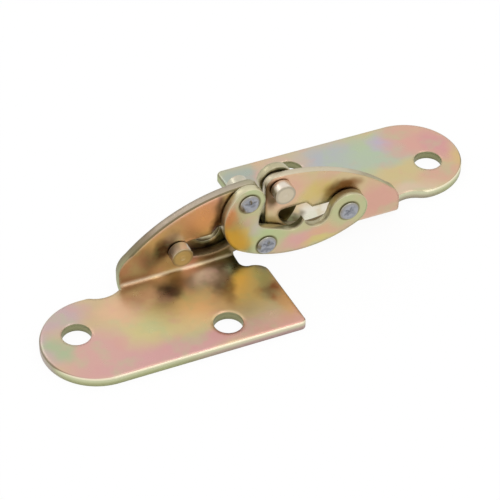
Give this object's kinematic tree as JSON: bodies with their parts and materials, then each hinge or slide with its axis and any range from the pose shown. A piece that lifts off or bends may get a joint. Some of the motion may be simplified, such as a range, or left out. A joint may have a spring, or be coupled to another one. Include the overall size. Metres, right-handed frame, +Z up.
{
  "type": "folding table hinge",
  "caption": "Folding table hinge: two steel leaves with screw flanges and grooved-in webs, joined by crossing links so that one leaf folds up and over the other.",
  "frame": {"origin": "middle of the hinge on the undersides of the flanges, under the centre rivet", "axes": "+X along the hinge towards the right leaf, +Y to the back, +Z up, from the flanges to the tops of the webs"},
  "size_m": [0.0782, 0.0374, 0.0149],
  "materials": {
    "plated_sheet": "yellow passivated zinc on pressed steel",
    "pin_steel": "plated turned steel with bare peened ends"
  },
  "bodies": {
    "left_side": {"left_leaf": "plated_sheet"},
    "front_arm": {"front_link": "plated_sheet", "left_pivot_pin": "pin_steel", "right_slider_pin": "pin_steel", "centre_rivet": "pin_steel"},
    "back_arm": {"back_link": "plated_sheet", "right_pivot_pin": "pin_steel", "left_slider_pin": "pin_steel"},
    "right_side": {"right_leaf": "plated_sheet"}
  },
  "joints": [
    {"name": "left_pivot", "type": "hinge", "parent": "left_side", "child": "front_arm", "pos_m": [-0.0029, 0, 0.0123], "axis": [0, -1, 0], "range_deg": [0, 114.28]},
    {"name": "centre_pivot", "type": "hinge", "parent": "front_arm", "child": "back_arm", "pos_m": [0, 0, 0.00315], "axis": [0, -1, 0], "range_deg": [-48.6, 0]},
    {"name": "right_pivot", "type": "hinge", "parent": "back_arm", "child": "right_side", "pos_m": [0.0029, 0, 0.0123], "axis": [0, -1, 0], "range_deg": [0, 114.3]}
  ],
  "couplings": [
    {"joint": "centre_pivot", "follows": "left_pivot", "ratio": -0.425},
    {"joint": "right_pivot", "follows": "left_pivot", "ratio": 1}
  ]
}
